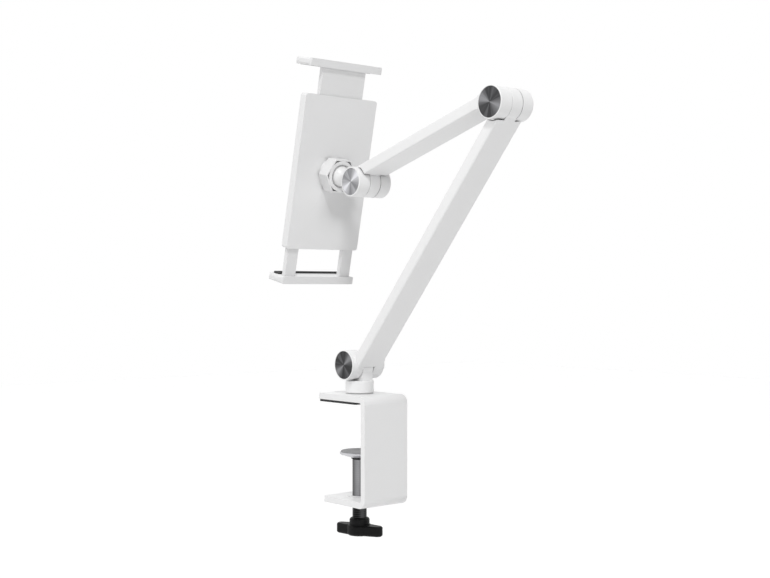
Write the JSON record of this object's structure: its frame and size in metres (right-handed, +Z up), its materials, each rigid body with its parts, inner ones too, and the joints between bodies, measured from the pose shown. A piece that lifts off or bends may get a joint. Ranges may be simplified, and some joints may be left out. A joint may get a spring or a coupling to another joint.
{
  "type": "tablet holder",
  "caption": "Desk clamp holder for a tablet, with a swivel post, folding friction arms, a ball joint with a lock nut, and a flat cradle with sliding jaws",
  "frame": {"origin": "the desk pad's underside, on the swivel axis; the desk top is the plane Z = 0", "axes": "+Z up, +X along the hinge pins toward the dark caps, -Y toward the user and the cradle"},
  "size_m": [0.0784, 0.2599, 0.4001],
  "materials": {
    "white_metal": "smooth satin white powder coat",
    "white_plastic": "moulded satin white plastic",
    "black_rubber": "matte black rubber",
    "black_plastic": "satin black moulded plastic",
    "steel": "turned zinc-plated steel",
    "spun_cap": "dark anodised, spun concentric finish",
    "white_ball": "polished white coat"
  },
  "bodies": {
    "clamp": {"clamp_plate": "white_metal", "desk_pad": "black_rubber", "threaded_bush": "white_metal", "swivel_spring": "steel"},
    "foot": {"pressure_foot": "steel", "foot_facing": "black_rubber", "foot_washer": "black_plastic"},
    "screw": {"clamp_screw": "steel", "clamp_knob": "black_plastic"},
    "post": {"swivel_post": "white_metal", "swivel_bolt": "steel", "swivel_washer": "black_plastic"},
    "lower": {"lower_arm": "white_metal", "shoulder_bolt": "steel", "shoulder_spring": "steel", "shoulder_washers": "black_plastic", "shoulder_cap": "spun_cap"},
    "upper": {"upper_arm": "white_metal", "elbow_bolt": "steel", "elbow_spring": "steel", "elbow_washers": "black_plastic", "elbow_cap": "spun_cap"},
    "wrist": {"wrist_fork": "white_metal", "wrist_bolt": "steel", "wrist_spring": "steel", "wrist_washers": "black_plastic", "wrist_cap": "spun_cap", "ball_stud": "white_ball"},
    "outer_shell": {"tilt_liner": "black_plastic"},
    "inner_shell": {"ball_liner": "black_plastic"},
    "holder": {"ball_socket": "steel", "socket_screws": "steel", "back_cover": "white_plastic", "front_cover": "white_plastic", "cover_screws": "steel", "front_sheet": "black_rubber", "jaw_brakes": "black_plastic"},
    "nut": {"lock_nut": "white_plastic"},
    "top_jaw": {"upper_jaw": "white_plastic", "upper_pad": "black_rubber"},
    "bottom_jaw": {"lower_jaw": "white_plastic", "lower_pad": "black_rubber"}
  },
  "joints": [
    {"name": "base_swivel", "type": "hinge", "parent": "clamp", "child": "post", "pos_m": [0, 0, 0.007], "axis": [0, 0, 1], "continuous": true},
    {"name": "shoulder_hinge", "type": "hinge", "parent": "post", "child": "lower", "pos_m": [0, 0, 0.0312], "axis": [1, 0, 0], "range_deg": [-25, 60]},
    {"name": "elbow_hinge", "type": "hinge", "parent": "lower", "child": "upper", "pos_m": [0, 0.17019, 0.22948], "axis": [-1, 0, 0], "range_deg": [-12, 140]},
    {"name": "wrist_hinge", "type": "hinge", "parent": "upper", "child": "wrist", "pos_m": [0, 0.00899, 0.18216], "axis": [1, 0, 0], "range_deg": [-34, 50]},
    {"name": "ball_tilt", "type": "hinge", "parent": "wrist", "child": "outer_shell", "pos_m": [0, -0.02714, 0.19015], "axis": [1, 0, 0], "range_deg": [-25, 25]},
    {"name": "ball_pan", "type": "hinge", "parent": "outer_shell", "child": "inner_shell", "pos_m": [0, -0.02714, 0.19015], "axis": [0, 0.2159, 0.9764], "range_deg": [-25, 25]},
    {"name": "ball_roll", "type": "hinge", "parent": "inner_shell", "child": "holder", "pos_m": [0, -0.02714, 0.19015], "axis": [0, 0.9764, -0.2159], "continuous": true},
    {"name": "nut_turn", "type": "hinge", "parent": "holder", "child": "nut", "pos_m": [0, -0.02714, 0.19015], "axis": [0, 0.9764, -0.2159], "range_deg": [0, 60]},
    {"name": "top_jaw_slide", "type": "slide", "parent": "holder", "child": "top_jaw", "axis": [0, 0.2159, 0.9764], "range_m": [-0.0195, 0.015]},
    {"name": "bottom_jaw_slide", "type": "slide", "parent": "holder", "child": "bottom_jaw", "axis": [0, -0.2159, -0.9764], "range_m": [-0.0195, 0.015]},
    {"name": "foot_slide", "type": "slide", "parent": "clamp", "child": "foot", "axis": [0, 0, 1], "range_m": [-0.026, 0.011]},
    {"name": "screw_turn", "type": "hinge", "parent": "foot", "child": "screw", "pos_m": [0, 0, -0.0834], "axis": [0, 0, 1], "range_deg": [-5349.6, 2263.9]}
  ],
  "couplings": [
    {"joint": "screw_turn", "follows": "foot_slide", "rad_per_m": 3590.4}
  ]
}
